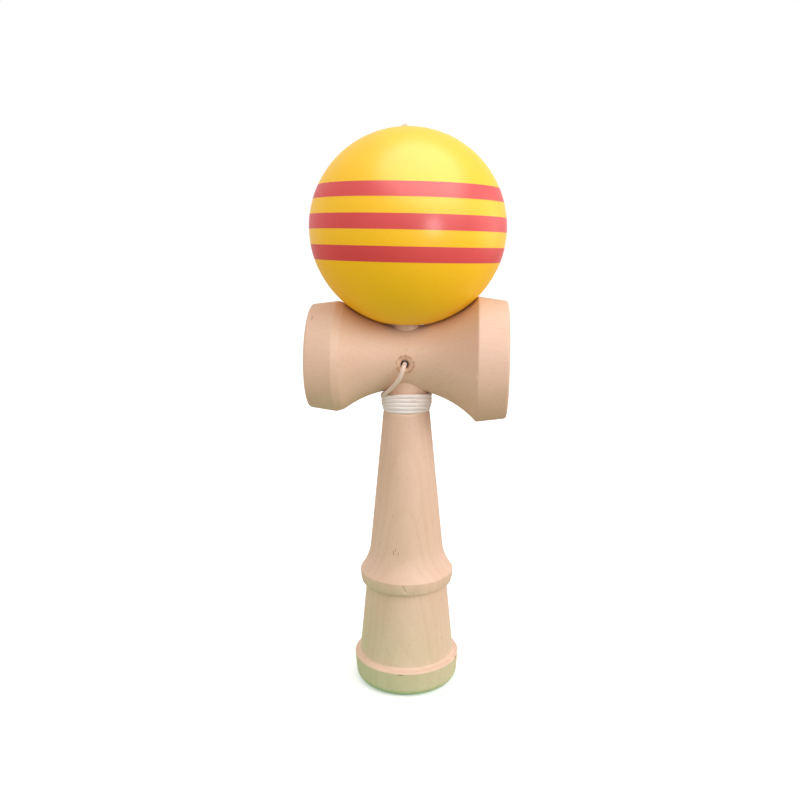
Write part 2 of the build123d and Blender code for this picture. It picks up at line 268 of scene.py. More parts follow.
def winding_points():
    """Control points of the turns, in metres. A spline of order 3 lies inside its control ring."""
    turns, heights = zip(*WINDING_HEIGHTS)
    step = 1 / WINDING_STEPS_PER_TURN
    outward = 1 / math.cos(math.pi * step)
    points = []
    for i in range(1, int(turns[-1] / step) + 1):
        height = float(np.interp(i * step, turns, heights))
        radius = (neck_radius(height) + CORD_DIAMETER / 2 - SINK_INTO_NECK) * outward
        angle = math.radians(WINDING_START_DEG) - 2 * math.pi * i * step
        points.append(
            (radius * math.cos(angle) * MM, radius * math.sin(angle) * MM, height * MM)
        )
    return points


def spline_points(name, route):
    """Points along a smooth NURBS curve that has the route as its control points."""
    data = bpy.data.curves.new(name, "CURVE")
    data.dimensions = "3D"
    data.resolution_u = CURVE_RESOLUTION
    spline = data.splines.new("NURBS")
    spline.points.add(len(route) - 1)
    for point, place in zip(spline.points, route):
        point.co = (*place, 1.0)
    spline.order_u = 3
    spline.use_endpoint_u = True
    curve = bpy.data.objects.new(name, data)
    bpy.context.scene.collection.objects.link(curve)
    bpy.context.view_layer.update()
    mesh = bpy.data.meshes.new_from_object(curve)
    points = np.array([v.co[:] for v in mesh.vertices])
    bpy.data.objects.remove(curve)
    bpy.data.meshes.remove(mesh)
    return points


def evenly(points, spacing):
    """Points this far apart along the line that these points make."""
    steps = np.linalg.norm(np.diff(points, axis=0), axis=1)
    points = points[np.concatenate([[True], steps > 1e-9])]
    along = np.concatenate([[0], np.cumsum(np.linalg.norm(np.diff(points, axis=0), axis=1))])
    stops = np.linspace(0, along[-1], int(along[-1] / spacing) + 1)
    return np.stack([np.interp(stops, along, points[:, k]) for k in range(3)], axis=1), stops


def line_frames(points):
    """Two unit vectors across a line at each of its points, which don't twist about it."""
    along = np.gradient(points, axis=0)
    along /= np.linalg.norm(along, axis=1)[:, None]
    first = np.cross(along[0], (0.3, 0.2, 1.0))
    side = first / np.linalg.norm(first)
    sides = []
    for direction in along:
        side = side - direction * (side @ direction)
        side /= np.linalg.norm(side)
        sides.append(side)
    sides = np.array(sides)
    return sides, np.cross(along, sides)


BRAID_CARRIERS = 8
BRAID_PITCH = 2.6 * MM
BRAID_RELIEF = 0.06
CROSSING_SHARPNESS = 6


def braid_height(around, along):
    """The height of a round braid's surface, from -1 to 1, where two sets of strands cross."""
    turn = 2 * math.pi * along / BRAID_PITCH
    half = BRAID_CARRIERS / 2
    right = np.cos(half * (around + turn))
    left = np.cos(half * (around - turn))
    over = np.sin(half * around) * np.sin(half * turn)
    right_on_top = 1 / (1 + np.exp(-CROSSING_SHARPNESS * over))
    return right_on_top * right + (1 - right_on_top) * left


def tube_mesh(name, points, stops, radius, sides, relief=0.0, taper=0.0):
    """A closed round tube along a line, with a braid's relief, as a mesh with two attributes."""
    first, second = line_frames(points)
    angles = np.linspace(0, 2 * math.pi, sides, endpoint=False)
    around, distance = np.meshgrid(angles, stops)
    size = np.full_like(distance, radius)
    if relief:
        size *= 1 - relief + relief * braid_height(around, distance)
    if taper:
        ends = np.minimum(stops, stops[-1] - stops)
        size *= np.sqrt(np.clip(ends / taper, 0.02, 1))[:, None]
    ring = (
        np.cos(angles)[None, :, None] * first[:, None, :]
        + np.sin(angles)[None, :, None] * second[:, None, :]
    )
    places = points[:, None, :] + ring * size[:, :, None]
    count = len(points)
    verts = places.reshape(-1, 3).tolist() + [points[0].tolist(), points[-1].tolist()]
    faces = []
    for i in range(count - 1):
        for j in range(sides):
            k = (j + 1) % sides
            faces.append((i * sides + j, i * sides + k, (i + 1) * sides + k, (i + 1) * sides + j))
    start, end = count * sides, count * sides + 1
    for j in range(sides):
        k = (j + 1) % sides
        faces.append((start, k, j))
        faces.append((end, (count - 1) * sides + j, (count - 1) * sides + k))
    mesh = bpy.data.meshes.new(name)
    mesh.from_pydata(verts, [], faces)
    mesh.update()
    for label, values in (("along", distance), ("around", around)):
        attribute = mesh.attributes.new(label, "FLOAT", "POINT")
        flat = np.concatenate([values.ravel(), [values[0, 0], values[-1, 0]]])
        attribute.data.foreach_set("value", flat.astype(np.float32))
    return mesh


def add_object(name, mesh):
    """A new object in the scene with this mesh, shaded smooth."""
    mesh.polygons.foreach_set("use_smooth", [True] * len(mesh.polygons))
    mesh.update()
    piece = bpy.data.objects.new(name, mesh)
    bpy.context.scene.collection.objects.link(piece)
    return piece


def cord_route():
    """Every control point of the cord, from the knot in the handle to the knot in the ball."""
    inside = [on_ball_axis(h) for h in INSIDE_HEIGHTS]
    return LEAD_ROUTE + winding_points() + RISE_ROUTE + BACK_ROUTE + inside


def make_cord():
    points = spline_points("cord_line", cord_route())
    points, stops = evenly(points, CORD_SPACING)
    radius = CORD_DIAMETER / 2 * MM
    mesh = tube_mesh("cord", points, stops, radius, CORD_SIDES, relief=BRAID_RELIEF)
    return add_object("cord", mesh), points


KNOT_SCALE = 0.42 * MM
KNOT_STRAND_RADIUS = 0.58 * MM
KNOT_SPACING = 0.12 * MM
KNOT_SIDES = 16
KNOT_POINTS = 240
KNOT_LOBE = 1.55
KNOT_HEIGHT = 1.25


def knot_mesh(name, matrix):
    """A tight overhand knot: a trefoil of cord, drawn up small."""
    t = np.linspace(0, 2 * math.pi, KNOT_POINTS)
    x = np.sin(t) + KNOT_LOBE * np.sin(2 * t)
    y = np.cos(t) - KNOT_LOBE * np.cos(2 * t)
    z = -KNOT_HEIGHT * np.sin(3 * t)
    points = np.stack([x, y, z], axis=1) * KNOT_SCALE
    points, stops = evenly(points, KNOT_SPACING)
    radius = KNOT_STRAND_RADIUS
    mesh = tube_mesh(name, points, stops, radius, KNOT_SIDES, relief=BRAID_RELIEF)
    mesh.transform(matrix)
    return mesh


def make_knots():
    handle_low, handle_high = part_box("handle_knot")
    ball_low, ball_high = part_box("ball_knot")
    turn = Matrix.Rotation(math.pi / 2, 4, "X")
    behind = Matrix.Translation((handle_low + handle_high) / 2) @ turn
    below = Matrix.Translation((ball_low + ball_high) / 2)
    handle_knot = add_object("knot_in_handle", knot_mesh("knot_in_handle", behind))
    ball_knot = add_object("knot_under_bead", knot_mesh("knot_under_bead", below))
    return handle_knot, ball_knot


# ---------------------------------------------------------------------------------------------
# Turned shapes: outlines in millimetres as (radius, height), from one end of the axis to the other
# ---------------------------------------------------------------------------------------------


# How finely the outlines are drawn: points on each curve, and the longest step in millimetres.
BASE_CUP_POINTS = 28
FOOT_CURVE_POINTS = 12
RING_POINTS = 9
COVE_POINTS = 22
TIP_POINTS = 8
SMALL_CUP_POINTS = 30
BIG_CUP_POINTS = 32
WAIST_POINTS = 72
BALL_POINTS = 170
STRIPE_POINTS = 10
EASED_CORNER_POINTS = 6
HANDLE_STEP = 0.5
CROSS_STEP = 0.55
BALL_STEP = 0.6
SEAT_STEP = 2.0


def arc_through(a, b, c, count):
    """Points on the circular arc from a through b to c, both ends included."""
    (ax, ay), (bx, by), (cx, cy) = a, b, c
    d = 2 * (ax * (by - cy) + bx * (cy - ay) + cx * (ay - by))
    aa, bb, cc = ax**2 + ay**2, bx**2 + by**2, cx**2 + cy**2
    ux = (aa * (by - cy) + bb * (cy - ay) + cc * (ay - by)) / d
    uy = (aa * (cx - bx) + bb * (ax - cx) + cc * (bx - ax)) / d
    start = math.atan2(ay - uy, ax - ux)
    middle = (math.atan2(by - uy, bx - ux) - start) % (2 * math.pi)
    end = (math.atan2(cy - uy, cx - ux) - start) % (2 * math.pi)
    if middle > end:
        end -= 2 * math.pi
    radius = math.hypot(ax - ux, ay - uy)
    turns = [start + end * i / (count - 1) for i in range(count)]
    return [(ux + radius * math.cos(t), uy + radius * math.sin(t)) for t in turns]


def tangent_arc(a, direction, b, count):
    """Points on the arc that leaves a in this direction and ends at b."""
    a, b, d = np.array(a, float), np.array(b, float), np.array(direction, float)
    d /= np.linalg.norm(d)
    normal = np.array((-d[1], d[0]))
    chord = b - a
    radius = chord @ chord / (2 * (chord @ normal))
    centre = a + normal * radius
    turn = 2 * math.atan2(chord @ normal, chord @ d)
    points = []
    for i in range(count):
        t = turn * i / (count - 1)
        arm = a - centre
        c, s = math.cos(t), math.sin(t)
        points.append(tuple(centre + (arm[0] * c - arm[1] * s, arm[0] * s + arm[1] * c)))
    return points


def eased(corners):
    """An outline from corners (radius, height) or (radius, height, rounding)."""
    points = []
    for i, corner in enumerate(corners):
        rounding = corner[2] if len(corner) > 2 else 0.0
        here = np.array(corner[:2], float)
        if not rounding or i in (0, len(corners) - 1):
            points.append(tuple(here))
            continue
        back = np.array(corners[i - 1][:2], float) - here
        ahead = np.array(corners[i + 1][:2], float) - here
        back_length, ahead_length = np.linalg.norm(back), np.linalg.norm(ahead)
        back, ahead = back / back_length, ahead / ahead_length
        opening = math.acos(max(-1, min(1, back @ ahead)))
        reach = min(rounding / math.tan(opening / 2), 0.45 * back_length, 0.45 * ahead_length)
        start, end = here + back * reach, here + ahead * reach
        for k in range(EASED_CORNER_POINTS):
            t = k / (EASED_CORNER_POINTS - 1)
            points.append(tuple((1 - t) ** 2 * start + 2 * t * (1 - t) * here + t * t * end))
    return points


def divided(points, longest):
    """The same outline with no step longer than this."""
    fine = [points[0]]
    for a, b in zip(points, points[1:]):
        count = max(1, math.ceil(math.dist(a, b) / longest))
        for i in range(1, count + 1):
            t = i / count
            fine.append((a[0] + (b[0] - a[0]) * t, a[1] + (b[1] - a[1]) * t))
    return fine


def lathe_mesh(name, outline, sides, closed=False):
    """A turned solid about Z, in metres, from an outline in millimetres. A closed outline makes a
    ring; an open one starts and ends on the axis."""
    angles = [2 * math.pi * j / sides for j in range(sides)]
    verts, rings = [], []
    for radius, height in outline:
        if radius < 1e-6:
            rings.append([len(verts)])
            verts.append((0, 0, height * MM))
            continue
        rings.append(list(range(len(verts), len(verts) + sides)))
        for t in angles:
            verts.append((radius * math.cos(t) * MM, radius * math.sin(t) * MM, height * MM))
    faces = []
    pairs = list(zip(rings, rings[1:]))
    if closed:
        pairs.append((rings[-1], rings[0]))
    for low, high in pairs:
        for j in range(sides):
            k = (j + 1) % sides
            if len(low) == 1:
                faces.append((low[0], high[k], high[j]))
            elif len(high) == 1:
                faces.append((low[j], low[k], high[0]))
            else:
                faces.append((low[j], low[k], high[k], high[j]))
    mesh = bpy.data.meshes.new(name)
    mesh.from_pydata(verts, [], faces)
    work = bmesh.new()
    work.from_mesh(mesh)
    bmesh.ops.recalc_face_normals(work, faces=work.faces)
    work.to_mesh(mesh)
    work.free()
    return mesh


def cup_points(rim_radius, depth, count):
    """A cup's inside as (radius, depth below the rim's plane), from its bottom to its rim."""
    radius = (rim_radius**2 + depth**2) / (2 * depth)
    widest = math.asin(rim_radius / radius)
    points = []
    for i in range(count):
        t = widest * i / (count - 1)
        points.append((radius * math.sin(t), depth - radius * (1 - math.cos(t))))
    return points


def foot_corners():
    """The foot, as (radius, height, rounding), from the base cup's lip to the ledge."""
    return [
        (BASE_CUP_RADIUS, 0.0, 0.35),
        (*FOOT_FLAT, 0.5),
        *arc_through(*FOOT_CURVE, FOOT_CURVE_POINTS),
        (*FOOT_SIDE_TOP, 0.3),
        (*FOOT_EDGE, 0.3),
        (*LEDGE_INNER, 0.35),
    ]


def lower_body_corners():
    """The lower body and the underside of the ring."""
    return [
        (*LOWER_BODY_BOTTOM, 0.6),
        (*LOWER_BODY_TOP, 0.25),
        (*RING_UNDERSIDE, 0.15),
        (*RING_LOW_EDGE, 0.3),
    ]


def ring_and_cove_points():
    """The ring's rounded side and the hollow that leads from its top edge into the grip."""
    side = arc_through(RING_LOW_EDGE, RING_MIDDLE, RING_TOP_EDGE, RING_POINTS)[1:-1]
    grip_direction = np.subtract(GRIP_BOTTOM, GRIP_TOP)
    cove = tangent_arc(GRIP_BOTTOM, grip_direction, RING_TOP_EDGE, COVE_POINTS)[::-1]
    return [*side, (*RING_TOP_EDGE, 0.15), *cove[1:]]


def neck_and_spike_corners():
    """From the top of the grip up to the spike's shoulder."""
    neck_roundings = (0.3, 0.0, 0.5, 0.5)
    return [
        (*GRIP_TOP, 0.5),
        (*GRIP_TOP_CORNER, 0.3),
        *[(*corner, rounding) for corner, rounding in zip(NECK_PROFILE, neck_roundings)],
        (*COLLAR_TOP, 0.3),
        (*COLLAR_SHOULDER, 0.5),
        SHANK_BOTTOM,
        SHANK_TOP,
        (*SPIKE_SHOULDER, 0.6),
    ]


def spike_tip_points(count):
    """The spike's rounded end, from just inside its shoulder to the tip."""
    base_radius, base_z = SPIKE_SHOULDER
    rise = SPIKE_TIP_Z - base_z
    radius = (base_radius**2 + rise**2) / (2 * rise)
    points = []
    for i in range(1, count + 1):
        t = math.asin(base_radius / radius) * (1 - i / count)
        points.append((max(0.0, radius * math.sin(t)), SPIKE_TIP_Z - radius * (1 - math.cos(t))))
    return points


def handle_outline():
    """The handle's outline, from the bottom of its base cup round to the spike's tip."""
    cup = cup_points(BASE_CUP_RADIUS, BASE_CUP_DEPTH, BASE_CUP_POINTS)[:-1]
    corners = cup + foot_corners() + lower_body_corners()
    corners += ring_and_cove_points() + neck_and_spike_corners()
    return divided(eased(corners), HANDLE_STEP) + spike_tip_points(TIP_POINTS)


def saddle(x):
    """The radius of the cross-piece's waist at this x in its own frame: the ball rests along it."""
    rise = BALL_CENTRE_Z - CROSS_Z
    centre_x = BALL_CENTRE_X * math.cos(CROSS_TILT) - rise * math.sin(CROSS_TILT)
    centre_height = BALL_CENTRE_X * math.sin(CROSS_TILT) + rise * math.cos(CROSS_TILT)
    return centre_height - math.sqrt((BALL_RADIUS + SADDLE_GAP) ** 2 - (x - centre_x) ** 2)


def cross_outline():
    """The cross-piece's outline about its own axis, as (radius, distance along +X)."""
    small_cup = cup_points(SMALL_CUP_RADIUS, SMALL_CUP_DEPTH, SMALL_CUP_POINTS)[:-1]
    big_cup = cup_points(BIG_CUP_RADIUS, BIG_CUP_DEPTH, BIG_CUP_POINTS)[::-1][1:]
    places = np.linspace(KNEE_X, BIG_SHOULDER_X, WAIST_POINTS).tolist()
    waist = [(saddle(x), x) for x in places]
    corners = [
        *[(radius, SMALL_RIM_X + depth) for radius, depth in small_cup],
        (SMALL_CUP_RADIUS, SMALL_RIM_X, 0.6),
        (SMALL_RIM_RADIUS, SMALL_RIM_X, 0.9),
        (*SMALL_SHOULDER, 1.4),
        (saddle(KNEE_X) + 0.12, KNEE_X - 0.25, 1.0),
        *waist[2:-1],
        (saddle(BIG_SHOULDER_X), BIG_SHOULDER_X, 0.8),
        (BIG_RIM_RADIUS, BIG_RIM_X, 0.9),
        (BIG_CUP_RADIUS, BIG_RIM_X, 0.6),
        *[(radius, BIG_RIM_X - depth) for radius, depth in big_cup],
    ]
    return divided(eased(corners), CROSS_STEP)


def seat_outline():
    """The outline of the bore that the handle's collar and shank are pressed into."""
    collar = COLLAR_TOP[0] + SEAT_GAP
    corners = [
        (0, SEAT_BOTTOM_Z),
        (collar, SEAT_BOTTOM_Z),
        (collar, COLLAR_TOP[1], 0.3),
        (COLLAR_SHOULDER[0] + SEAT_GAP, COLLAR_SHOULDER[1] + SEAT_GAP, 0.5),
        (SHANK_BOTTOM[0] + SEAT_GAP, SHANK_BOTTOM[1] + SEAT_GAP),
        SEAT_TOP,
        (0, SEAT_TOP[1]),
    ]
    return divided(eased(corners), SEAT_STEP)


def ball_outline():
    """The ball's outline in its own frame, bore included, from the bore's top corner round."""
    mouth = -math.sqrt(BALL_RADIUS**2 - BORE_MOUTH_RADIUS**2)
    top = math.sqrt(BALL_RADIUS**2 - TOP_HOLE_RADIUS**2)
    start = -math.pi / 2 + math.asin(BORE_MOUTH_RADIUS / BALL_RADIUS)
    end = math.pi / 2 - math.asin(TOP_HOLE_RADIUS / BALL_RADIUS)
    turns = np.linspace(start, end, BALL_POINTS).tolist()
    surface = [(BALL_RADIUS * math.cos(t), BALL_RADIUS * math.sin(t)) for t in turns]
    corners = [
        (CORD_BORE_RADIUS, CORD_BORE_START),
        (BORE_RADIUS, BORE_END, 0.4),
        (BORE_RADIUS, mouth + 0.6, 0.2),
        (BORE_MOUTH_RADIUS, mouth, 0.2),
        *surface[1:-1],
        (TOP_HOLE_RADIUS, top),
        (CORD_BORE_RADIUS + 0.25, top - 0.25),
        (CORD_BORE_RADIUS, top - 0.9),
        (CORD_BORE_RADIUS, CORD_BORE_START),
    ]
    return divided(eased(corners), BALL_STEP)[:-1]


def stripe_outline(low, high):
    """A painted band: a thin skin on the ball between two heights."""
    inner, outer = BALL_RADIUS - PAINT_DEPTH, BALL_RADIUS + PAINT_HEIGHT
    last = STRIPE_POINTS - 1
    heights = [low + (high - low) * i / last for i in range(STRIPE_POINTS)]
    outside = [(math.sqrt(outer**2 - height**2), height) for height in heights]
    inside = [(math.sqrt(inner**2 - height**2), height) for height in heights]
    return outside + inside[::-1]


def carved(piece, cutters):
    """Cuts these meshes out of a piece and leaves it as a plain mesh."""
    tools = []
    for i, mesh in enumerate(cutters):
        tool = bpy.data.objects.new(f"cutter_{i}", mesh)
        bpy.context.scene.collection.objects.link(tool)
        tools.append(tool)
        modifier = piece.modifiers.new(f"cut_{i}", "BOOLEAN")
        modifier.operation = "DIFFERENCE"
        modifier.solver = "EXACT"
        modifier.object = tool
    bpy.context.view_layer.update()
    graph = bpy.context.evaluated_depsgraph_get()
    mesh = bpy.data.meshes.new_from_object(piece.evaluated_get(graph))
    piece.modifiers.clear()
    piece.data = mesh
    for tool in tools:
        bpy.data.objects.remove(tool)
    return piece


def sharpen(mesh, degrees):
    """Smooth shading, with edges that turn more than this kept sharp."""
    work = bmesh.new()
    work.from_mesh(mesh)
    limit = math.radians(degrees)
    for face in work.faces:
        face.smooth = True
    for edge in work.edges:
        edge.smooth = len(edge.link_faces) != 2 or edge.calc_face_angle() < limit
    work.to_mesh(mesh)
    work.free()


ROD_SIDES = 48
# How far the rods reach on either side of the handle's axis: past the shank, past the belly.
PAST_SHANK_Y = 12.0
PAST_BELLY_Y = -20.0
# A dent that runs slantwise down the ring's outer band, at the front.
RING_NICK = [(-0.55, -14.86, 36.2), (0.20, -14.88, 34.6), (0.95, -14.56, 32.8)]
NICK_RADIUS = 0.34
NICK_TAPER = 1.2
NICK_SPACING = 0.12
NICK_SIDES = 8


def rod(name, radius, start, end, flare=0.0):
    """A round cutter along -Y from start to end, which widens by flare towards its end."""
    outline = [(0, 0), (radius, 0), (radius + flare, abs(end - start)), (0, abs(end - start))]
    mesh = lathe_mesh(name, outline, ROD_SIDES)
    mesh.transform(Matrix.Rotation(math.pi / 2, 4, "X"))
    mesh.transform(Matrix.Translation((0, start * MM, CORD_HOLE_Z * MM)))
    return mesh


def nick(name, route):
    """A cutter for a dent: a thin rod through these points, in millimetres, with thin ends."""
    points, stops = evenly(np.array(route) * MM, NICK_SPACING * MM)
    return tube_mesh(name, points, stops, NICK_RADIUS * MM, NICK_SIDES, taper=NICK_TAPER * MM)


# ---------------------------------------------------------------------------------------------
# Material nodes
# ---------------------------------------------------------------------------------------------


class Nodes:
    """Short calls for building one material's node tree."""

    def __init__(self, name):
        self.material = bpy.data.materials.new(name)
        self.material.use_nodes = True
        self.tree = self.material.node_tree
        self.tree.nodes.clear()

    def add(self, kind, inputs=None, output=0, **settings):
        node = self.tree.nodes.new(kind)
        for key, value in settings.items():
            setattr(node, key, value)
        for key, value in (inputs or {}).items():
            if isinstance(value, bpy.types.NodeSocket):
                self.tree.links.new(value, node.inputs[key])
            else:
                node.inputs[key].default_value = value
        return node.outputs[output]

    def maths(self, operation, a, b=0.0):
        return self.add("ShaderNodeMath", {0: a, 1: b}, operation=operation)

    def vector(self, operation, a, b=(0, 0, 0), output=0):
        return self.add("ShaderNodeVectorMath", {0: a, 1: b}, output, operation=operation)

    def noise(self, vector, scale, detail=2.0, roughness=0.5):
        inputs = {"Vector": vector, "Scale": scale, "Detail": detail, "Roughness": roughness}
        return self.add("ShaderNodeTexNoise", inputs)

    def remap(self, value, low, high, to_low=0.0, to_high=1.0, smooth=True):
        inputs = {
            "Value": value,
            "From Min": low,
            "From Max": high,
            "To Min": to_low,
            "To Max": to_high,
        }
        kind = "SMOOTHSTEP" if smooth else "LINEAR"
        return self.add("ShaderNodeMapRange", inputs, interpolation_type=kind)

    def mix(self, amount, a, b):
        node = self.tree.nodes.new("ShaderNodeMix")
        node.data_type = "RGBA"
        for index, value in ((0, amount), (6, a), (7, b)):
            if isinstance(value, bpy.types.NodeSocket):
                self.tree.links.new(value, node.inputs[index])
            elif index == 0:
                node.inputs[index].default_value = value
            else:
                node.inputs[index].default_value = (*value, 1.0)
        return node.outputs[2]

    def scaled(self, vector, scale):
        return self.vector("MULTIPLY", vector, scale)

    def finish(self, bump, strength, distance, **sockets):
        normal = self.add(
            "ShaderNodeBump", {"Height": bump, "Strength": strength, "Distance": distance}
        )
        shader = self.tree.nodes.new("ShaderNodeBsdfPrincipled")
        self.tree.links.new(normal, shader.inputs["Normal"])
        for key, value in sockets.items():
            socket = shader.inputs[key.replace("_", " ")]
            if isinstance(value, bpy.types.NodeSocket):
                self.tree.links.new(value, socket)
            else:
                socket.default_value = value
        out = self.tree.nodes.new("ShaderNodeOutputMaterial")
        self.tree.links.new(shader.outputs[0], out.inputs[0])
        return self.material


def srgb(red, green, blue):
    """Linear colour from 0-255 display values."""

    def linear(value):
        value /= 255
        return value / 12.92 if value <= 0.04045 else ((value + 0.055) / 1.055) ** 2.4

    return (linear(red), linear(green), linear(blue))


def spot_mask(nodes, place, marks):
    """1 inside any of these soft-edged ellipsoids, each (centre, half sizes) in millimetres."""
    total = None
    for centre, size in marks:
        offset = nodes.vector("SUBTRACT", place, centre)
        unit = nodes.vector("DIVIDE", offset, size)
        distance = nodes.vector("LENGTH", unit, output=1)
        mask = nodes.remap(distance, 1.0, 0.45)
        total = mask if total is None else nodes.maths("MAXIMUM", total, mask)
    return total


BEECH = {
    "pale": srgb(226, 192, 168),
    "tan": srgb(219, 184, 158),
    "pink": srgb(228, 190, 170),
    "late": srgb(196, 154, 122),
    "streak": srgb(208, 170, 140),
    "fibre": srgb(206, 168, 138),
    "light_fibre": srgb(242, 216, 194),
    "pore": srgb(160, 118, 88),
    "fleck": srgb(160, 114, 84),
    "hole_darkening": srgb(168, 112, 58),
    "mark": srgb(132, 92, 64),
    # The next two tones serve edges and corners: paler for wear and a painted highlight, darker for
    # dust and painted shade.
    "worn_and_highlit": srgb(244, 216, 190),
    "dust": srgb(150, 118, 92),
}


def growth_rings(n, across, length, grain, pith, tilt, spacing):
    """0 to 1 over each ring's late wood. The rings are nearly flat sheets, far from the pith."""
    wander = n.noise(n.scaled(grain, (0.055, 0.055, 0.012)), 1.0, 2.0)
    ripple = n.noise(n.scaled(grain, (0.30, 0.30, 0.035)), 1.0, 3.0)
    dx = n.maths("SUBTRACT", across[0], pith[0])
    dy = n.maths("SUBTRACT", across[1], pith[1])
    squares = n.maths("ADD", n.maths("MULTIPLY", dx, dx), n.maths("MULTIPLY", dy, dy))
    ring = n.maths("SQRT", squares)
    ring = n.maths("ADD", ring, n.maths("MULTIPLY", length, tilt))
    ring = n.maths("ADD", ring, n.maths("MULTIPLY", wander, 7.0))
    ring = n.maths("ADD", ring, n.maths("MULTIPLY", ripple, 0.8))
    phase = n.maths("FRACT", n.maths("DIVIDE", ring, spacing))
    rise = n.remap(phase, 0.35, 0.9)
    fall = n.remap(phase, 1.0, 0.93)
    return n.maths("MULTIPLY", rise, fall)


def darkened_hole(n, split, grain, colour, hole_height):
    """Round the cord's hole at the front: a darker brown ring round the mouth, and darker brown
    inside it.
    """
    height = n.maths("SUBTRACT", split.outputs[2], hole_height)
    reach = n.add("ShaderNodeCombineXYZ", {0: split.outputs[0], 1: height})
    reach = n.vector("LENGTH", n.vector("ADD", reach, (-0.15, -0.1, 0)), output=1)
    front = n.remap(split.outputs[1], -5.0, -7.0)
    uneven = n.noise(grain, 0.9, 2.0)
    hole_darkening = n.maths("MULTIPLY", n.remap(reach, 3.2, 2.6), n.remap(reach, 2.1, 2.5))
    inner = n.remap(reach, 1.75, 1.3)
    hole_darkening = n.maths("MAXIMUM", n.maths("MULTIPLY", hole_darkening, n.remap(uneven, 0.3, 0.6)), inner)
    hole_darkening = n.maths("MULTIPLY", hole_darkening, n.maths("MULTIPLY", front, 0.7))
    return n.mix(hole_darkening, colour, BEECH["hole_darkening"])


def wear_and_painted_light(n, colour):
    """Crisp edges, found by pointiness, are mixed paler: wear and a painted highlight. Inner
    corners are mixed darker: dust and painted shade.
    """
    pointiness = n.add("ShaderNodeNewGeometry", output=7)
    # Painted highlight and wear: convex edges are mixed towards paler wood.
    worn_and_highlit = n.remap(pointiness, 0.515, 0.56)
    # Painted shade and dust: concave corners are mixed towards darker brown.
    dusty_and_shaded = n.remap(pointiness, 0.485, 0.44)
    colour = n.mix(n.maths("MULTIPLY", worn_and_highlit, 0.3), colour, BEECH["worn_and_highlit"])
    return n.mix(n.maths("MULTIPLY", dusty_and_shaded, 0.35), colour, BEECH["dust"])


def wood_material(
    name, along, pith, tilt, seed, dark_marks, mark=0.6, contrast=0.12, spacing=2.1, hole_height=0.0
):
    """Pale unvarnished beech. along is the grain's axis, 0 to 2; the pith is a point across the
    grain in millimetres, round which the growth rings lie."""
    n = Nodes(name)
    metres = n.add("ShaderNodeTexCoord", output=3)
    place = n.scaled(metres, (1 / MM,) * 3)
    split = n.tree.nodes.new("ShaderNodeSeparateXYZ")
    n.tree.links.new(place, split.inputs[0])
    across = [split.outputs[k] for k in range(3) if k != along]
    length = split.outputs[along]
    grain = n.add("ShaderNodeCombineXYZ", {0: across[0], 1: across[1], 2: length})
    grain = n.vector("ADD", grain, (seed * 37.0, seed * 19.0, seed * 53.0))
    late = growth_rings(n, across, length, grain, pith, tilt, spacing)

    # Fibres, pores and the short dark flecks that beech shows on flat-sawn faces.
    fibre = n.noise(n.scaled(grain, (5.5, 5.5, 0.22)), 1.0, 4.0, 0.62)
    streak = n.noise(n.scaled(grain, (1.3, 1.3, 0.045)), 1.0, 3.0, 0.6)
    pores = n.remap(n.noise(n.scaled(grain, (9.0, 9.0, 0.9)), 1.0, 1.0), 0.66, 0.74)
    flecks = n.remap(n.noise(n.scaled(grain, (3.6, 3.6, 0.5)), 1.0, 0.0), 0.76, 0.81)
    blotch = n.noise(n.scaled(grain, (0.07, 0.07, 0.03)), 1.0, 2.0)
    blush = n.noise(n.scaled(grain, (0.035, 0.035, 0.016)), 1.0, 1.0)

    colour = n.mix(n.remap(blotch, 0.3, 0.7), BEECH["pale"], BEECH["tan"])
    colour = n.mix(n.remap(blush, 0.45, 0.75, 0, 0.5), colour, BEECH["pink"])
    colour = n.mix(n.maths("MULTIPLY", late, contrast), colour, BEECH["late"])
    colour = n.mix(n.remap(streak, 0.5, 0.78, 0, 0.22), colour, BEECH["streak"])
    colour = n.mix(n.remap(fibre, 0.45, 0.78, 0, 0.20), colour, BEECH["fibre"])
    colour = n.mix(n.remap(fibre, 0.45, 0.2, 0, 0.2), colour, BEECH["light_fibre"])
    colour = n.mix(n.maths("MULTIPLY", pores, 0.16), colour, BEECH["pore"])
    colour = n.mix(n.maths("MULTIPLY", flecks, 0.3), colour, BEECH["fleck"])
    if hole_height:
        colour = darkened_hole(n, split, grain, colour, hole_height)
    if dark_marks:
        dark = spot_mask(n, place, dark_marks)
        colour = n.mix(n.maths("MULTIPLY", dark, mark), colour, BEECH["mark"])
    colour = wear_and_painted_light(n, colour)

    rough = n.remap(fibre, 0.3, 0.7, 0.5, 0.62, smooth=False)
    rough = n.maths("SUBTRACT", rough, n.maths("MULTIPLY", late, 0.04))
    ridges = n.noise(n.add("ShaderNodeCombineXYZ", {0: length}), 2.6, 3.0, 0.7)
    bump = n.maths("MULTIPLY", fibre, 0.55)
    bump = n.maths("SUBTRACT", bump, n.maths("MULTIPLY", pores, 0.5))
    bump = n.maths("SUBTRACT", bump, n.maths("MULTIPLY", flecks, 0.35))
    bump = n.maths("ADD", bump, n.maths("MULTIPLY", ridges, 0.18))
    bump = n.maths("ADD", bump, n.maths("MULTIPLY", late, 0.12))
    looks = {"Base_Color": colour, "Roughness": rough, "Specular_IOR_Level": 0.2}
    return n.finish(bump, 0.35, 0.06 * MM, **looks)


PAINT_ROUGHNESS = 0.5


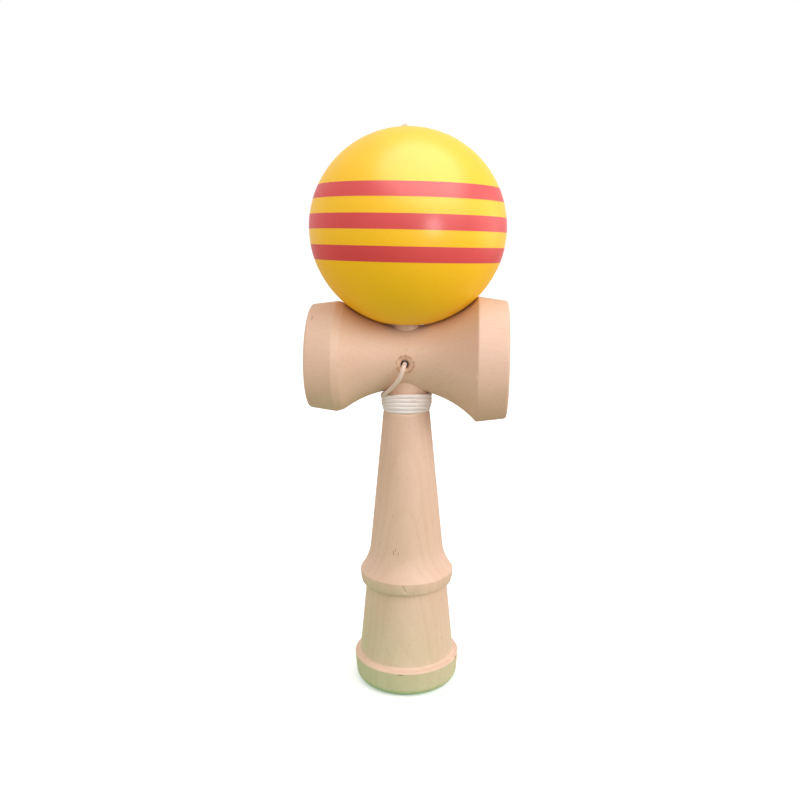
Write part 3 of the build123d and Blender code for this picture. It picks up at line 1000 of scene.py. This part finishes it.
def paint_material(name, colour, deep, seed):
    """Sprayed satin paint on a turned ball: slight unevenness, dust specks and orange peel."""
    n = Nodes(name)
    metres = n.add("ShaderNodeTexCoord", output=3)
    place = n.vector("ADD", n.scaled(metres, (1 / MM,) * 3), (seed * 31.0, seed * 17.0, seed * 7.0))
    cloud = n.noise(place, 0.06, 3.0)
    mottle = n.noise(place, 0.9, 3.0, 0.6)
    speck = n.noise(place, 2.4, 0.0)
    specks = n.remap(speck, 0.80, 0.84)
    peel = n.noise(place, 1.7, 2.0, 0.5)
    grain = n.noise(n.scaled(place, (2.2, 2.2, 0.10)), 1.0, 3.0)
    tone = n.mix(n.remap(cloud, 0.3, 0.7, 0, 0.5), colour, deep)
    tone = n.mix(n.remap(mottle, 0.45, 0.8, 0, 0.18), tone, deep)
    tone = n.mix(n.maths("MULTIPLY", specks, 0.35), tone, tuple(0.45 * c for c in deep))
    low, high = PAINT_ROUGHNESS - 0.04, PAINT_ROUGHNESS + 0.08
    rough = n.remap(mottle, 0.3, 0.7, low, high, smooth=False)
    bump = n.maths("ADD", n.maths("MULTIPLY", peel, 0.7), n.maths("MULTIPLY", grain, 0.25))
    bump = n.maths("ADD", bump, n.maths("MULTIPLY", specks, 0.9))
    return n.finish(
        bump,
        0.16,
        0.05 * MM,
        Base_Color=tone,
        Roughness=rough,
        Specular_IOR_Level=0.2,
        Coat_Weight=0.22,
        Coat_Roughness=0.28,
    )


def cord_material(name):
    """Off-white braided cord: strands with a soft sheen, painted shade in the gaps between them, a
    little dirt in blotches and a darker tan along the lead.
    """
    n = Nodes(name)
    along = n.add("ShaderNodeAttribute", output=2, attribute_name="along")
    around = n.add("ShaderNodeAttribute", output=2, attribute_name="around")
    turn = n.maths("MULTIPLY", along, 2 * math.pi / BRAID_PITCH)
    half = BRAID_CARRIERS / 2
    right = n.maths("MULTIPLY", n.maths("ADD", around, turn), half)
    left = n.maths("MULTIPLY", n.maths("SUBTRACT", around, turn), half)
    cross = n.maths("MULTIPLY", n.maths("COSINE", right), n.maths("COSINE", left))
    # Painted shade: the gaps between the braid's crossing strands are mixed darker.
    shaded_gap = n.remap(cross, 0.15, -0.75)
    threads = n.maths("SINE", n.maths("MULTIPLY", right, 7.0))
    length = n.maths("DIVIDE", along, MM)
    soil = n.noise(n.add("ShaderNodeCombineXYZ", {0: length, 1: around}), 0.16, 3.0)
    fuzz = n.noise(n.add("ShaderNodeCombineXYZ", {0: length, 1: around}), 9.0, 3.0)
    colour = n.mix(n.remap(soil, 0.4, 0.75), srgb(255, 248, 246), srgb(246, 234, 228))
    colour = n.mix(n.maths("MULTIPLY", shaded_gap, 0.5), colour, srgb(196, 176, 160))
    colour = n.mix(n.remap(fuzz, 0.4, 0.8, 0, 0.2), colour, srgb(206, 192, 178))
    # Along the lead, up to about 34 mm from the knot, the cord is mixed to a darker tan.
    lead = n.maths("MULTIPLY", n.remap(length, 34.0, 28.0), n.remap(length, 10.0, 14.0, 0.3, 1.0))
    colour = n.mix(n.maths("MULTIPLY", lead, 0.7), colour, srgb(226, 196, 174))
    bump = n.maths("ADD", n.maths("MULTIPLY", cross, 0.8), n.maths("MULTIPLY", threads, 0.15))
    bump = n.maths("ADD", bump, n.maths("MULTIPLY", fuzz, 0.3))
    rough = n.remap(fuzz, 0.3, 0.7, 0.62, 0.78, smooth=False)
    return n.finish(
        bump,
        0.4,
        0.05 * MM,
        Base_Color=colour,
        Roughness=rough,
        Specular_IOR_Level=0.3,
        Sheen_Weight=0.25,
        Sheen_Roughness=0.4,
    )


def dress(piece, material):
    """Gives a piece this one material."""
    piece.data.materials.clear()
    piece.data.materials.append(material)


# ---------------------------------------------------------------------------------------------
# Pieces
# ---------------------------------------------------------------------------------------------

# Dark flecks, each as (centre, half sizes).
HANDLE_MARKS = [
    ((-3.3, -10.9, 44.6), (0.22, 1.2, 1.0)),
    ((-2.7, -11.0, 45.6), (0.16, 1.2, 0.7)),
    ((-1.9, -11.2, 44.4), (0.14, 1.2, 0.8)),
    ((9.1, -2.2, 64.9), (1.2, 0.22, 1.7)),
    ((-0.8, -16.6, 7.75), (1.5, 1.2, 0.28)),
    ((15.9, -4.6, 7.9), (1.0, 0.8, 0.5)),
]
CROSS_MARKS = [
    ((-27.7, -10.5, 117.1), (0.5, 1.6, 1.3)),
]
WOOD_SIDES = 192
SEAT_SIDES = 128
BALL_SIDES = 256
SHARP_WOOD_DEGREES = 35
SHARP_PAINT_DEGREES = 40


def make_handle():
    piece = add_object("handle_turning", lathe_mesh("handle_turning", handle_outline(), WOOD_SIDES))
    shank_hole = rod("shank_hole", SHANK_HOLE_RADIUS, PAST_SHANK_Y, -PAST_SHANK_Y)
    knot_pocket = rod("knot_pocket", KNOT_POCKET_RADIUS, PAST_SHANK_Y, KNOT_POCKET_FLOOR_Y)
    carved(piece, [shank_hole, knot_pocket, nick("ring_nick", RING_NICK)])
    sharpen(piece.data, SHARP_WOOD_DEGREES)
    return piece


def make_cross_piece():
    mesh = lathe_mesh("cross_turning", cross_outline(), WOOD_SIDES)
    mesh.transform(Matrix.Rotation(math.pi / 2 + CROSS_TILT, 4, "Y"))
    mesh.transform(Matrix.Translation((0, 0, CROSS_Z * MM)))
    piece = add_object("cross_turning", mesh)
    seat = lathe_mesh("seat", seat_outline(), SEAT_SIDES)
    hole = rod("cord_hole", CORD_HOLE_RADIUS, 0.0, PAST_BELLY_Y)
    mouth = rod("cord_hole_mouth", CORD_HOLE_RADIUS, MOUTH_START_Y, MOUTH_END_Y, MOUTH_FLARE)
    carved(piece, [seat, hole, mouth])
    sharpen(piece.data, SHARP_WOOD_DEGREES)
    return piece


def make_ball():
    mesh = lathe_mesh("ball_turning", ball_outline(), BALL_SIDES, closed=True)
    mesh.transform(ball_matrix())
    piece = add_object("ball_turning", mesh)
    sharpen(piece.data, SHARP_PAINT_DEGREES)
    return piece


def make_stripes():
    stripes = {}
    for node, (low, high) in STRIPES.items():
        mesh = lathe_mesh("paint_" + node, stripe_outline(low, high), BALL_SIDES, closed=True)
        mesh.transform(ball_matrix())
        stripes[node] = add_object("paint_" + node, mesh)
        sharpen(mesh, SHARP_PAINT_DEGREES)
    return stripes


# ---------------------------------------------------------------------------------------------
# Floor and light
# ---------------------------------------------------------------------------------------------


FLOOR_HALF = 4.0
FLOOR_DROP = 0.05 * MM
FLOOR_GLOW = 0.25
SHEET_RADIUS = 0.055
SHEET_CENTRE = (-0.018, -0.012)
SHEET_SIDES = 48
SHEET_DROP = 0.2 * MM

# Each light's name, place, width and power in watts. The key shapes the object; the others are
# seen only as sheen.
KEY_LIGHT = ("key", (0.80, -0.45, 0.55), 0.6, 4.15)
KEY_COLOUR = (1.0, 0.98, 0.98)
SHEEN_LIGHTS = [
    ("window", (0.50, -0.80, 0.17), 0.25, 6.4),
    ("top", (0.18, -0.28, 0.78), 1.2, 28.0),
    ("side", (0.90, 0.25, 0.20), 0.7, 3.2),
]
WHITE = (1.0, 1.0, 1.0)
# The world is white above and warm and darker below, between these two heights of direction.
WORLD_BELOW = (0.53, 0.44, 0.37)
WORLD_BLEND = (-0.25, -0.04)


def make_floor():
    mesh = bpy.data.meshes.new("floor")
    half, down = FLOOR_HALF, cad_low.z - FLOOR_DROP
    corners = [(-half, -half, down), (half, -half, down), (half, half, down), (-half, half, down)]
    mesh.from_pydata(corners, [], [(0, 1, 2, 3)])
    floor = bpy.data.objects.new("floor", mesh)
    bpy.context.scene.collection.objects.link(floor)
    n = Nodes("floor")
    place = n.add("ShaderNodeTexCoord", output=3)
    speckle = n.noise(place, 900.0, 2.0)
    colour = n.mix(n.remap(speckle, 0.3, 0.7, 0, 0.05), (0.94, 0.94, 0.94), (0.90, 0.90, 0.90))
    glow = {"Emission_Color": (*WHITE, 1.0), "Emission_Strength": FLOOR_GLOW}
    dress(floor, n.finish(speckle, 0.02, 0.0002, Base_Color=colour, Roughness=0.9, **glow))
    # The floor is seen and takes shadows, but throws no light up: the object's underside is lit
    # by the lower half of the world.
    floor.visible_diffuse = False
    floor.visible_glossy = False
    floor.visible_shadow = False


def make_green_sheet():
    """A green sheet just under the floor: not seen, but it tints the foot from below."""
    mesh = bpy.data.meshes.new("green_sheet")
    down = cad_low.z - SHEET_DROP
    x, y = SHEET_CENTRE
    turns = [2 * math.pi * i / SHEET_SIDES for i in range(SHEET_SIDES)]
    corners = [
        (x + SHEET_RADIUS * math.cos(t), y + SHEET_RADIUS * math.sin(t), down) for t in turns
    ]
    mesh.from_pydata(corners, [], [tuple(range(SHEET_SIDES))])
    sheet = bpy.data.objects.new("green_sheet", mesh)
    bpy.context.scene.collection.objects.link(sheet)
    n = Nodes("green_sheet")
    weave = n.noise(n.add("ShaderNodeTexCoord", output=3), 400.0, 2.0)
    colour = n.mix(weave, (0.04, 0.55, 0.14), (0.07, 0.61, 0.18))
    dress(sheet, n.finish(weave, 0.1, 0.0002, Base_Color=colour, Roughness=0.9))
    sheet.visible_camera = False


def make_area_light(name, place, size, power, colour=WHITE):
    """A round light aimed at the object's middle."""
    data = bpy.data.lights.new(name, "AREA")
    data.shape = "DISK"
    data.size = size
    data.energy = power
    data.color = colour
    light = bpy.data.objects.new(name, data)
    light.location = place
    aim = (cad_low + cad_high) / 2 - Vector(place)
    light.rotation_euler = aim.to_track_quat("-Z", "Y").to_euler()
    bpy.context.scene.collection.objects.link(light)
    return light


def make_lights():
    make_area_light(*KEY_LIGHT, KEY_COLOUR)
    for light in SHEEN_LIGHTS:
        make_area_light(*light).visible_diffuse = False


def make_world():
    world = bpy.data.worlds.new("studio")
    world.use_nodes = True
    tree = world.node_tree
    direction = tree.nodes.new("ShaderNodeTexCoord")
    split = tree.nodes.new("ShaderNodeSeparateXYZ")
    blend = tree.nodes.new("ShaderNodeMapRange")
    blend.inputs["From Min"].default_value = WORLD_BLEND[0]
    blend.inputs["From Max"].default_value = WORLD_BLEND[1]
    mix = tree.nodes.new("ShaderNodeMix")
    mix.data_type = "RGBA"
    mix.inputs[6].default_value = (*WORLD_BELOW, 1.0)
    mix.inputs[7].default_value = (*WHITE, 1.0)
    tree.links.new(direction.outputs["Generated"], split.inputs[0])
    tree.links.new(split.outputs[2], blend.inputs["Value"])
    tree.links.new(blend.outputs[0], mix.inputs[0])
    background = tree.nodes.get("Background")
    tree.links.new(mix.outputs[2], background.inputs["Color"])
    background.inputs["Strength"].default_value = 1.0
    bpy.context.scene.world = world


# ---------------------------------------------------------------------------------------------
# Putting it together
# ---------------------------------------------------------------------------------------------


def dress_bead():
    """The bead stays the CAD's own solid, with wood in each of its material slots."""
    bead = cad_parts["bead"]
    wood = wood_material(
        "bead_wood", along=2, pith=(4.0, 20.0), tilt=0.02, seed=3.0, dark_marks=[]
    )
    for slot in bead.material_slots:
        slot.material = wood
    return bead


def add_cord_and_knots(bead):
    cord, cord_points = make_cord()
    handle_knot, ball_knot = make_knots()
    string = cord_material("cord")
    for piece in (cord, handle_knot, ball_knot):
        dress(piece, string)
    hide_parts("handle_knot")
    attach(handle_knot, "ken")
    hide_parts("ball_knot")
    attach(ball_knot, "cord_end")
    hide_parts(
        "string_lead",
        "string_winding",
        "string_rise",
        "string_over_ball",
        "string_through_ball",
    )
    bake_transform(cord)


def add_handle():
    handle = make_handle()
    wood = wood_material(
        "beech_handle", along=2, pith=(3.0, 62.0), tilt=0.02, seed=1.0, dark_marks=HANDLE_MARKS
    )
    dress(handle, wood)
    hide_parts("handle")
    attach(handle, "ken")


def add_cross_piece():
    cross_piece = make_cross_piece()
    wood = wood_material(
        "beech_cross_piece",
        along=0,
        pith=(48.0, 150.0),
        tilt=0.05,
        seed=2.0,
        dark_marks=CROSS_MARKS,
        mark=0.3,
        contrast=0.05,
        spacing=1.5,
        hole_height=CORD_HOLE_Z,
    )
    dress(cross_piece, wood)
    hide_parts("cross_piece")
    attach(cross_piece, "ken")


def add_ball():
    ball = make_ball()
    yellow = paint_material("yellow_paint", srgb(255, 201, 10), srgb(252, 191, 6), seed=1.0)
    dress(ball, yellow)
    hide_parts("ball")
    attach(ball, "tama")
    red = paint_material("red_paint", srgb(222, 76, 74), srgb(210, 66, 64), seed=2.0)
    for node, stripe in make_stripes().items():
        dress(stripe, red)
        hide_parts(node)
        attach(stripe, "tama")


def main():
    make_camera()
    add_cord_and_knots(dress_bead())
    add_handle()
    add_cross_piece()
    add_ball()
    make_floor()
    make_green_sheet()
    make_lights()
    make_world()
    bpy.context.scene.view_settings.view_transform = "Standard"


main()
